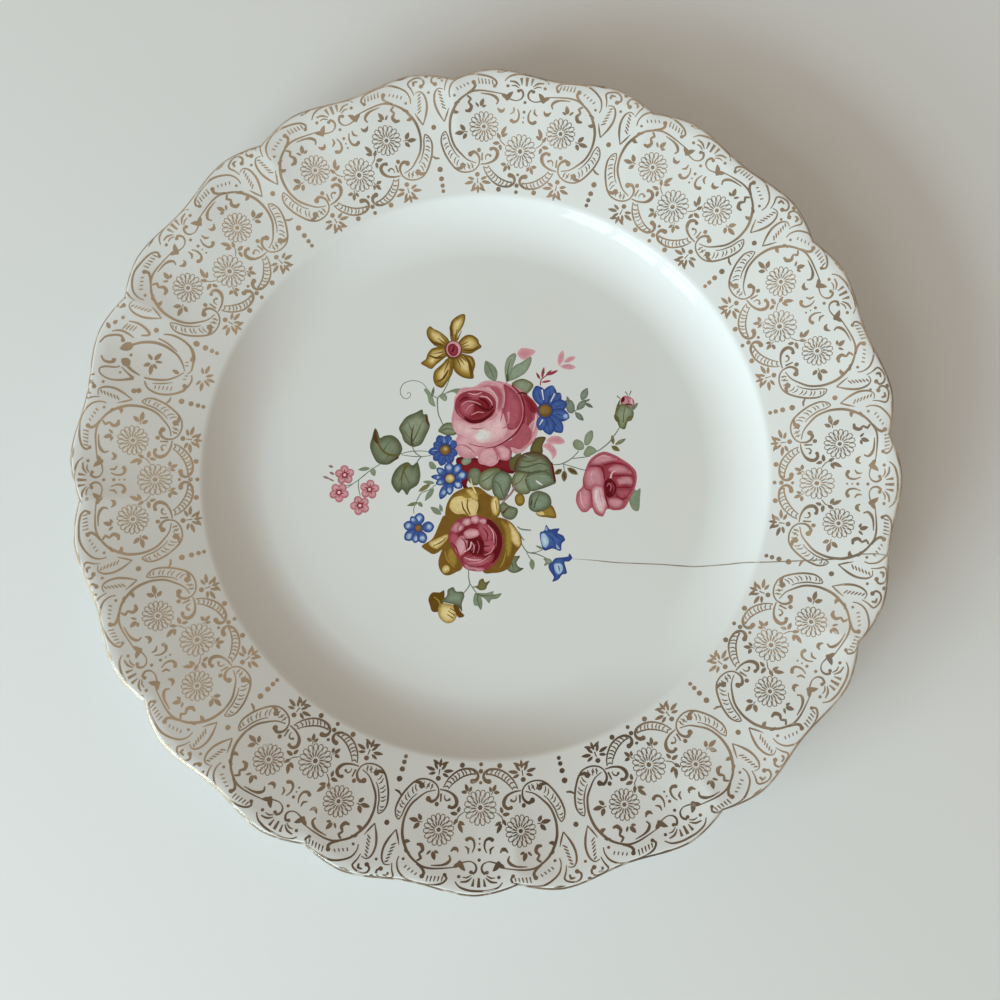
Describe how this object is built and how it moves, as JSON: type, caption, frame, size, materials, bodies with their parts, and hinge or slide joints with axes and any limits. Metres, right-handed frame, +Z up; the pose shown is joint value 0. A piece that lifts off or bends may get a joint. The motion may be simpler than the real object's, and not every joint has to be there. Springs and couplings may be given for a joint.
{
  "type": "cracked dinner plate",
  "caption": "Round scalloped earthenware dinner plate with a flat well, a sloping gilt-printed brim, a floral spray and a hairline crack from the rim into the well.",
  "frame": {"origin": "on the plate's axis, on the surface that its foot ring stands on", "axes": "+Z up along the plate's axis; +X towards a notch of the scalloped rim; seen from above, the crack crosses the rim about 17 degrees clockwise from it"},
  "size_m": [0.2526, 0.2526, 0.022],
  "materials": {
    "glaze": "glossy ivory glaze, lightly worn, a few dark specks",
    "gilding": "thin satin gilding, worn brown in places",
    "print": "overglaze transfer print in soft enamel colours"
  },
  "bodies": {
    "root": {"plate": "glaze"}
  },
  "joints": []
}
